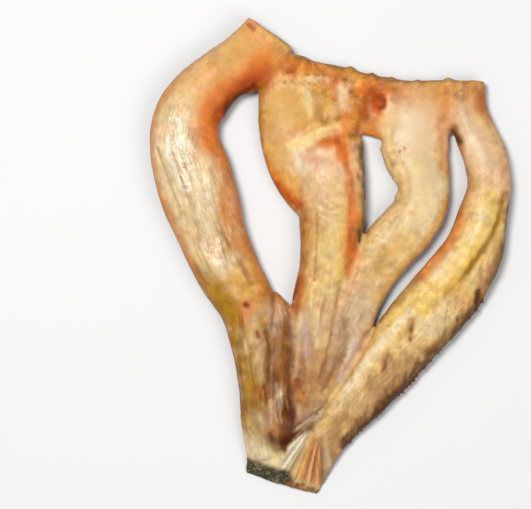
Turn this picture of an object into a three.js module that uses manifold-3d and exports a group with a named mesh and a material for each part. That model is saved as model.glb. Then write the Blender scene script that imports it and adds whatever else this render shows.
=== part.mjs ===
// Dried snakehead: a headless, gutted fish slit lengthwise into four strips of flesh.
// A ragged shoulder collar joins the strips at one end, and the trimmed tail at the other.
// It lies flat on its skin with the cut flesh up.
// Millimetres. X runs across the strips, Y from tail to shoulder, Z up from the table.

import * as THREE from "three";
import { mergeVertices } from "three/addons/utils/BufferGeometryUtils.js";
import Module from "manifold-3d";

// Stations along each band of flesh: x, y, width, thickness, lift of the underside
const LEFT_STRIP = [
  [-34, 129, 31, 11, 5],
  [-44, 115, 37, 13, 4],
  [-61, 105, 32, 16, 2],
  [-75, 92, 36, 19, 0],
  [-82, 81, 38, 20, 0],
  [-84, 69, 40, 21, 0],
  [-79, 47, 45, 22, 0],
  [-74, 30, 44, 22, 0],
  [-67, 10, 39, 21, 0],
  [-58, -10, 37, 20, 0],
  [-48, -29, 33, 18, 0],
  [-45, -50, 25, 16, 0],
  [-43, -74, 20, 14, 0],
  [-40, -97, 22, 12, 0],
  [-36, -117, 22, 8, 0],
];
const COLLAR = [
  [-34, 110, 24, 5, 4],
  [-16, 101, 27, 8, 2],
  [3, 94, 33, 9, 0],
  [21, 88, 35, 9, 0],
  [41, 84, 36, 9, 0],
  [65, 86, 32, 9, 0],
  [86, 89, 26, 8, 2],
];
const INNER_FLAP = [
  [-28, 111, 20, 7, 4],
  [-24, 105, 33, 10, 3],
  [-20, 87, 43, 12, 1],
  [-19, 67, 42, 13, 0],
  [-17, 50, 36, 13, 0],
  [-12, 35, 26, 12, 0],
  [-4, 22, 16, 10, 0],
];
const INNER_STRIP = [
  [-2, 75, 24, 5, 4],
  [-2, 71, 34, 14, 0],
  [0, 52, 39, 19, 0],
  [1, 33, 39, 20, 0],
  [1, 16, 37, 19, 0],
  [-1, -5, 33, 17, 0],
  [-6, -26, 31, 15, 0],
  [-9, -49, 28, 13, 0],
  [-12, -72, 22, 11, 0],
  [-17, -95, 16, 9, 0],
  [-21, -115, 14, 7, 0],
];
const RIGHT_INNER_STRIP = [
  [50, 97, 24, 5, 0],
  [50, 88, 34, 9, 0],
  [50, 76, 38, 11, 0],
  [50, 59, 39, 14, 0],
  [54, 44, 31, 16, 0],
  [53, 29, 30, 16, 0],
  [45, 17, 32, 16, 0],
  [35, 6, 32, 15, 0],
  [25, -9, 29, 14, 0],
  [17, -25, 26, 13, 0],
  [12, -44, 22, 12, 0],
  [4, -63, 18, 10, 0],
  [-5, -84, 15, 9, 0],
  [-15, -103, 12, 7, 0],
];
const RIGHT_STRIP = [
  [80, 101, 19, 8, 3],
  [80, 84, 22, 11, 1],
  [84, 71, 24, 14, 0],
  [90, 56, 25, 17, 0],
  [92, 41, 25, 18, 0],
  [88, 22, 29, 18, 0],
  [82, 1, 35, 18, 0],
  [71, -16, 39, 17, 0],
  [50, -41, 39, 17, 0],
  [35, -59, 34, 16, 0],
  [19, -81, 29, 14, 0],
  [3, -98, 25, 12, 0],
  [-9, -115, 25, 9, 0],
  [-14, -123, 24, 5, 0],
];
const TAIL_WEB = [
  [-33, -21, 4, 5, 0],
  [-30, -29, 12, 8, 0],
  [-27, -39, 18, 10, 0],
  [-27, -53, 21, 11, 0],
  [-28, -84, 18, 12, 0],
  [-29, -102, 18, 13, 0],
  [-29, -112, 15, 10, 0],
];
const TAIL_FIN = [
  [-22, -112, 51, 7, 0],
  [-25, -122, 48, 6, 0],
  [-28, -132, 44, 3, 0],
];

const COLLAR_BRIDGE = [
  [2, 99, 30, 7, 0],
  [5, 89, 32, 11, 0],
  [6, 79, 26, 13, 0],
  [6, 68, 17, 14, 0],
];

// Thin ridges on the bands, by the same kind of stations
const LIP = [
  [-21, 65, 4, 4, 8],
  [-9, 72, 6, 6, 8],
  [1, 75, 6, 6, 8],
  [8, 75, 5, 5, 8],
];
const LATERAL_LINE = [
  [87, 18, 2, 3, 14],
  [76, -5, 7, 5, 13.5],
  [44, -37, 9, 5, 13],
  [29, -52, 8, 5, 12.5],
  [-3, -89, 3, 3, 9],
];
const SKIN_FOLDS = [
  [[-31, -36, 2, 3, 6], [-32, -70, 5, 5, 7], [-28, -106, 2, 3, 6]],
  [[-23, -38, 2, 3, 6.5], [-24, -66, 5, 4, 8], [-24, -100, 2, 3, 6]],
  [[-8, -30, 2, 3, 11.5], [-11, -62, 5, 4, 9], [-19, -96, 2, 3, 6]],
  [[13, -28, 2, 3, 10], [7, -54, 5, 4, 8.5], [-8, -88, 2, 3, 6]],
];
const FIN_RAYS = [
  [[-16, -105, 3, 4, 6.5], [-25, -120, 3, 4, 3], [-28, -130, 2, 3, 1.5]],
  [[-11, -105, 3, 4, 7], [-18, -121, 3, 4, 3], [-20, -132, 2, 3, 1.5]],
  [[-6, -105, 3, 4, 7], [-11, -122, 3, 4, 2.5], [-13, -134, 2, 3, 1.5]],
];

// Lumps along the torn rims, and stubs of the trimmed dorsal fin
const COLLAR_RIM = [[-17, 112, 5], [5, 108, 5], [22, 103, 5], [45, 100, 5], [70, 101, 5]];
const SLIT_RIM = [[32, 72, 6], [31, 61, 7], [38, 51, 8], [40, 36, 8], [34, 24, 7], [24, 15, 7]];
const DORSAL_EDGE = [[88, -26, 7], [63, -54, 7], [43, -76, 6], [21, -97, 5], [9, -109, 4]];
const LUMP_SPACING = 8;
const LUMP_RADIUS = 2.6;
const STUB_SPACING = 5;
const STUB_RADIUS = 2.4;
const STUB_LENGTH = 5;
const UNEVENNESS = 0.3;
const UNEVEN_TURN = 5;

const PIT_CENTRE = [28, 89.5, 10];
const PIT_RADII = [3.4, 4, 4.5];

const SECTION_POINTS = 14;
const RIDGE_POINTS = 8;
const LUMP_POINTS = 8;
const LUMP_RINGS = 6;
const STUB_SIDES = 4;
const SECTION_STEP = 8;
// Share of a band's thickness at which its sides are widest, and the roundness of its parts
const EDGE_SHARE = 0.4;
const SIDE_POWER = 0.9;
const TOP_POWER = 1;
const BASE_POWER = 0.5;

const FLESH_COLOUR = 0xe0b074;
const FLESH_ROUGHNESS = 0.45;

const wasm = await Module();
wasm.setup();

const power = (value, exponent) => Math.sign(value) * Math.abs(value) ** exponent;
const vector = ([x, y, z]) => new THREE.Vector3(x, y, z);
const unevenSize = (k) => 1 + UNEVENNESS * Math.sin(UNEVEN_TURN * k);

// Turn a closed buffer geometry into a solid that can be joined and cut
function solid(geometry) {
  geometry.deleteAttribute("normal");
  geometry.deleteAttribute("uv");
  const merged = mergeVertices(geometry);
  return new wasm.Manifold(new wasm.Mesh({
    numProp: 3,
    vertProperties: new Float32Array(merged.attributes.position.array),
    triVerts: new Uint32Array(merged.index.array),
  }));
}

// A band swept along its stations, with a rounded top, a flatter base and blunt ends
function band(stations, points = SECTION_POINTS) {
  const path = new THREE.CatmullRomCurve3(stations.map(([x, y, , , lift]) => vector([x, y, lift])));
  const sizes = new THREE.CatmullRomCurve3(stations.map(([, , w, t]) => vector([w, t, 0])));
  const rings = Math.round(path.getLength() / SECTION_STEP);
  const positions = [];
  for (let ring = 0; ring <= rings; ring += 1) {
    const centre = path.getPoint(ring / rings);
    const tangent = path.getTangent(ring / rings);
    const across = vector([tangent.y, -tangent.x, 0]).normalize();
    const { x: width, y: thickness } = sizes.getPoint(ring / rings);
    for (let k = 0; k < points; k += 1) {
      const angle = (2 * Math.PI * k) / points;
      const side = 0.5 * width * power(Math.cos(angle), SIDE_POWER);
      const rise = Math.sin(angle) > 0
        ? (1 - EDGE_SHARE) * power(Math.sin(angle), TOP_POWER)
        : EDGE_SHARE * power(Math.sin(angle), BASE_POWER);
      const point = centre.clone().addScaledVector(across, side);
      positions.push(point.x, point.y, point.z + thickness * (EDGE_SHARE + rise));
    }
  }
  const index = [];
  for (let ring = 0; ring < rings; ring += 1) {
    for (let k = 0; k < points; k += 1) {
      const a = ring * points + k;
      const b = ring * points + ((k + 1) % points);
      index.push(a, a + points, b, b, a + points, b + points);
    }
  }
  const last = rings * points;
  for (let k = 1; k < points - 1; k += 1) {
    index.push(0, k, k + 1, last, last + k + 1, last + k);
  }
  const geometry = new THREE.BufferGeometry();
  geometry.setAttribute("position", new THREE.Float32BufferAttribute(positions, 3));
  geometry.setIndex(index);
  return solid(geometry);
}

// An ellipsoid, for a lump or a pit
function ellipsoid(centre, radii) {
  const geometry = new THREE.SphereGeometry(1, LUMP_POINTS, LUMP_RINGS);
  geometry.scale(...radii);
  geometry.translate(...centre);
  return solid(geometry);
}

// Uneven lumps in a row along a torn rim
function rimLumps(rim) {
  const path = new THREE.CatmullRomCurve3(rim.map(vector));
  const count = Math.round(path.getLength() / LUMP_SPACING);
  return path.getSpacedPoints(count).map((point, k) => {
    const radius = LUMP_RADIUS * unevenSize(k);
    return ellipsoid(point.toArray(), [radius, radius, radius]);
  });
}

// Short cut fin spines that lean out from the edge, square in section
function finStubs(edge) {
  const path = new THREE.CatmullRomCurve3(edge.map(vector));
  const count = Math.round(path.getLength() / STUB_SPACING);
  return path.getSpacedPoints(count).map((point, k) => {
    const tangent = path.getTangentAt(k / count);
    const length = STUB_LENGTH * unevenSize(k);
    const geometry = new THREE.ConeGeometry(STUB_RADIUS, length, STUB_SIDES);
    geometry.rotateZ(Math.atan2(tangent.y, tangent.x));
    geometry.translate(point.x, point.y, point.z);
    return solid(geometry);
  });
}

const bands = [
  LEFT_STRIP, COLLAR, INNER_FLAP, INNER_STRIP, COLLAR_BRIDGE,
  RIGHT_INNER_STRIP, RIGHT_STRIP, TAIL_WEB, TAIL_FIN,
];
const ridges = [LIP, LATERAL_LINE, ...SKIN_FOLDS, ...FIN_RAYS];
const pieces = [
  ...bands.map((stations) => band(stations)),
  ...ridges.map((stations) => band(stations, RIDGE_POINTS)),
  ...rimLumps(COLLAR_RIM),
  ...rimLumps(SLIT_RIM),
  ...finStubs(DORSAL_EDGE),
];
const whole = pieces.reduce((sum, piece) => sum.add(piece)).subtract(ellipsoid(PIT_CENTRE, PIT_RADII));

// The origin goes to the middle of the fish, on the table
const { vertProperties, triVerts } = whole.getMesh();
const geometry = new THREE.BufferGeometry();
geometry.setAttribute("position", new THREE.Float32BufferAttribute(vertProperties, 3));
geometry.setIndex(new THREE.Uint32BufferAttribute(triVerts, 1));
geometry.computeBoundingBox();
const { min, max } = geometry.boundingBox;
geometry.translate(-0.5 * (min.x + max.x), -0.5 * (min.y + max.y), -min.z);
geometry.computeVertexNormals();

const flesh = new THREE.MeshStandardMaterial({
  color: FLESH_COLOUR,
  roughness: FLESH_ROUGHNESS,
  metalness: 0,
});
const fish = new THREE.Mesh(geometry, flesh);
fish.name = "fish";

const snakehead = new THREE.Group();
snakehead.add(fish);

export default snakehead;
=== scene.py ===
"""Dried snakehead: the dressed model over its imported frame.

A headless fish slit into strips of flesh that a shoulder collar and a trimmed tail hold together.
Lengths are millimetres, X across the strips and Y from tail to shoulder; the material, the floor,
the lamps and the camera are in metres.
"""

import math

import bpy
import numpy as np
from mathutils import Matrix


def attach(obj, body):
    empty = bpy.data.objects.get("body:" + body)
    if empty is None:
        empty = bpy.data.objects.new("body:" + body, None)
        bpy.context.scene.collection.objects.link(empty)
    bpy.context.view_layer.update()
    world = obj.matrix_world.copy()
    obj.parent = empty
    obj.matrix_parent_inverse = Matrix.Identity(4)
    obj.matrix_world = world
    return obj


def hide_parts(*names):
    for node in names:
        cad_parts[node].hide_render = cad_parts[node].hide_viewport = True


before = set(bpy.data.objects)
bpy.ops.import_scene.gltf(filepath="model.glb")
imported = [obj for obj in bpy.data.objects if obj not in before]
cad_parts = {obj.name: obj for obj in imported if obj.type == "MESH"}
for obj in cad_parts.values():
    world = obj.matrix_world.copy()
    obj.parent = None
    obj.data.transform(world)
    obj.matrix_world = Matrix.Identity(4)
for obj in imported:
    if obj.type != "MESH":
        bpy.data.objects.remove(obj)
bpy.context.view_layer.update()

MM = 0.001

# Stations along each band of flesh: x, y, width, thickness, lift of the underside
BANDS = {
    "left": [
        (-34, 129, 31, 11, 5), (-44, 115, 37, 13, 4), (-61, 105, 32, 16, 2), (-75, 92, 36, 19, 0),
        (-82, 81, 38, 20, 0), (-84, 69, 40, 21, 0), (-79, 47, 45, 22, 0), (-74, 30, 44, 22, 0),
        (-67, 10, 39, 21, 0), (-58, -10, 37, 20, 0), (-48, -29, 33, 18, 0), (-45, -50, 25, 16, 0),
        (-43, -74, 20, 14, 0), (-40, -97, 22, 12, 0), (-36, -117, 22, 8, 0),
    ],
    "web": [
        (-33, -21, 4, 5, 0), (-30, -29, 12, 8, 0), (-27, -39, 18, 10, 0), (-27, -53, 21, 11, 0),
        (-28, -84, 18, 12, 0), (-29, -102, 18, 13, 0), (-29, -112, 15, 10, 0),
    ],
    "flap": [
        (-28, 111, 20, 7, 4), (-24, 105, 33, 10, 3), (-20, 87, 43, 12, 1), (-19, 67, 42, 13, 0),
        (-17, 50, 36, 13, 0), (-12, 35, 26, 12, 0), (-4, 22, 16, 10, 0),
    ],
    "inner": [
        (-2, 75, 24, 5, 4), (-2, 71, 34, 14, 0), (0, 52, 39, 19, 0), (1, 33, 39, 20, 0),
        (1, 16, 37, 19, 0), (-1, -5, 33, 17, 0), (-6, -26, 31, 15, 0), (-9, -49, 28, 13, 0),
        (-12, -72, 22, 11, 0), (-17, -95, 16, 9, 0), (-21, -115, 14, 7, 0),
    ],
    "right_inner": [
        (50, 97, 24, 5, 0), (50, 88, 34, 9, 0), (50, 76, 38, 11, 0), (50, 59, 39, 14, 0),
        (54, 44, 31, 16, 0), (53, 29, 30, 16, 0), (45, 17, 32, 16, 0), (35, 6, 32, 15, 0),
        (25, -9, 29, 14, 0), (17, -25, 26, 13, 0), (12, -44, 22, 12, 0), (4, -63, 18, 10, 0),
        (-5, -84, 15, 9, 0), (-15, -103, 12, 7, 0),
    ],
    "right": [
        (80, 101, 19, 8, 3), (80, 84, 22, 11, 1), (84, 71, 24, 14, 0), (90, 56, 25, 17, 0),
        (92, 41, 25, 18, 0), (88, 22, 29, 18, 0), (82, 1, 35, 18, 0), (71, -16, 39, 17, 0),
        (50, -41, 39, 17, 0), (35, -59, 34, 16, 0), (19, -81, 29, 14, 0), (3, -98, 25, 12, 0),
        (-9, -115, 25, 9, 0), (-14, -123, 24, 5, 0),
    ],
    "collar": [
        (-34, 110, 24, 5, 4), (-16, 101, 27, 8, 2), (3, 94, 33, 9, 0), (21, 88, 35, 9, 0),
        (41, 84, 36, 9, 0), (65, 86, 32, 9, 0), (86, 89, 26, 8, 2),
    ],
    "fin": [(-22, -112, 51, 7, 0), (-25, -122, 48, 6, 0), (-28, -132, 44, 3, 0)],
}

# The bridge from the collar to the inner strip and the strip's raised lip, by the same kind of stations
BRIDGE = [(2, 99, 30, 7, 0), (5, 89, 32, 11, 0), (6, 79, 26, 13, 0), (6, 68, 17, 14, 0)]
LIP = [(-21, 64, 4, 4, 9), (-9, 70, 7, 6, 9.5), (1, 73.5, 7, 6, 9.5), (8, 75, 5, 5, 9)]

# Torn rims with lumps, and the edge with the stubs of the trimmed dorsal fin: x, y, z
COLLAR_RIM = [(-17, 112, 5), (5, 108, 5), (22, 103, 5), (45, 100, 5), (70, 101, 5)]
RIM_KNOBS = [(12, 107.2, 4.5), (24.5, 103.4, 4.5)]
KNOB_RADIUS = 3.2
SLIT_RIM = [(32, 72, 6), (31, 61, 7), (38, 51, 8), (40, 36, 8), (34, 24, 7), (24, 15, 7)]
DORSAL_EDGE = [(88, -26, 7), (63, -54, 7), (43, -76, 6), (21, -97, 5), (9, -109, 4)]

# Colours of the fish, as sRGB
PALETTE = {
    "tan": (236, 184, 118), "peach": (240, 205, 155), "cream": (240, 219, 184), "pink": (245, 205, 176),
    "straw": (236, 203, 142), "ochre": (224, 170, 88), "copper": (214, 136, 66), "orange": (232, 126, 46),
    "rust": (188, 72, 12), "blood": (134, 34, 4), "olive": (178, 130, 36), "yellow": (242, 206, 104),
    "brown": (156, 102, 50), "mauve": (174, 124, 88), "lilac": (220, 190, 162), "umber": (88, 40, 10),
    "skin": (136, 106, 68), "charcoal": (77, 70, 56), "bone": (210, 188, 146), "white": (252, 244, 230),
    "butter": (255, 214, 150), "salmon": (226, 150, 106), "ash": (150, 146, 130),
    "sienna": (150, 78, 20), "violet": (212, 184, 188),
}
# The moist sheen pales the colours, so they are laid on richer and darker than they show
RICHER = (1.0, 0.96, 0.80)
SHEEN = 0.008

# Flesh colour along each band, from its first station to its last
FLESH = {
    "left": [(0, "tan"), (0.12, "tan"), (0.2, "peach"), (0.3, "cream"), (0.46, "cream"), (0.55, "straw"),
             (0.62, "ochre"), (0.72, "olive"), (0.86, "brown"), (1, "bone")],
    "web": [(0, "mauve"), (0.4, "brown"), (1, "brown")],
    "flap": [(0, "tan"), (0.3, "ochre"), (1, "tan")],
    "inner": [(0, "tan"), (0.1, "pink"), (0.28, "straw"), (0.52, "straw"), (0.62, "lilac"),
              (0.78, "mauve"), (1, "brown")],
    "right_inner": [(0, "tan"), (0.1, "cream"), (0.36, "cream"), (0.5, "straw"), (0.62, "lilac"),
                    (0.8, "mauve"), (1, "mauve")],
    "right": [(0, "copper"), (0.08, "tan"), (0.18, "pink"), (0.34, "straw"), (0.85, "straw"), (1, "brown")],
    "collar": [(0, "tan"), (0.25, "copper"), (0.75, "copper"), (0.9, "tan"), (1, "copper")],
    "fin": [(0, "bone"), (1, "brown")],
}

# Relief strokes: height, radius and the line that each follows
RELIEF = [
    (-1.0, 8, [(25, 93), (27, 88)]),
    (-1.0, 2.5, [(27, 92), (31, 90.5), (30.5, 86.5)]),
    (-0.5, 1.5, [(-6, 29), (0, 26), (5, 28)]),
    (-0.5, 1.5, [(-5, 24), (0, 22), (4, 23)]),
    (-0.5, 2, [(-8, 24), (-8, 6), (-9, -14)]),
    (-1.5, 4, [(-14, 62), (-6, 67), (2, 69), (7, 67)]),
    (-0.6, 4, [(7, 64), (10, 53), (12, 38), (13, 22), (12, 4), (11, -9)]),
    (0.6, 5, [(15, 62), (18, 47), (18, 30), (16, 18)]),
    (-0.9, 4, [(-33, -36), (-36, -46), (-36, -60), (-35, -78), (-32, -95), (-27, -109)]),
    (-1.1, 4, [(-23, -34), (-24, -49), (-24, -66), (-23, -84), (-27, -101), (-29, -114)]),
    (0.8, 4, [(-29, -43), (-29, -60), (-29, -81), (-31, -101)]),
    (-0.6, 3, [(-11, -26), (-12, -49), (-17, -75)]),
    (-0.6, 3, [(-3, -20), (-4, -43), (-10, -69), (-17, -89)]),
    (-0.6, 3, [(7, -8), (5, -31), (0, -55), (-10, -81)]),
    (-0.8, 4, [(20, 13), (15, -2), (9, -17), (5, -34), (2, -52), (-4, -72), (-14, -90)]),
    (-0.8, 4, [(23, -46), (17, -56), (9, -70), (2, -82), (-7, -90), (-16, -100), (-23, -110)]),
    (0.9, 5, [(86, 18), (79, 1), (67, -15), (50, -31), (32, -48), (15, -67), (0, -85), (-10, -96)]),
    (-0.9, 3, [(101, 34), (95, 15), (85, -1), (77, -14), (64, -26), (48, -40), (38, -52), (26, -67),
               (12, -86), (0, -101)]),
    (-0.7, 2, [(-67, 38), (-63, 19), (-57, 6), (-50, -6), (-44, -20)]),
    (-1.0, 1.8, [(48, -36), (46, -48)]),
    (-1.0, 1.8, [(36, -56), (30, -66)]),
    (0.7, 2, [(-3, -86), (-19, -96)]),
    (0.7, 2, [(-4, -89), (-21, -101)]),
    (0.7, 2, [(-7, -92), (-21, -106)]),
    (-0.6, 2.5, [(35, 73), (35, 61), (39, 55), (44, 45), (44, 35), (41, 27), (35, 20)]),
]

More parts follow.
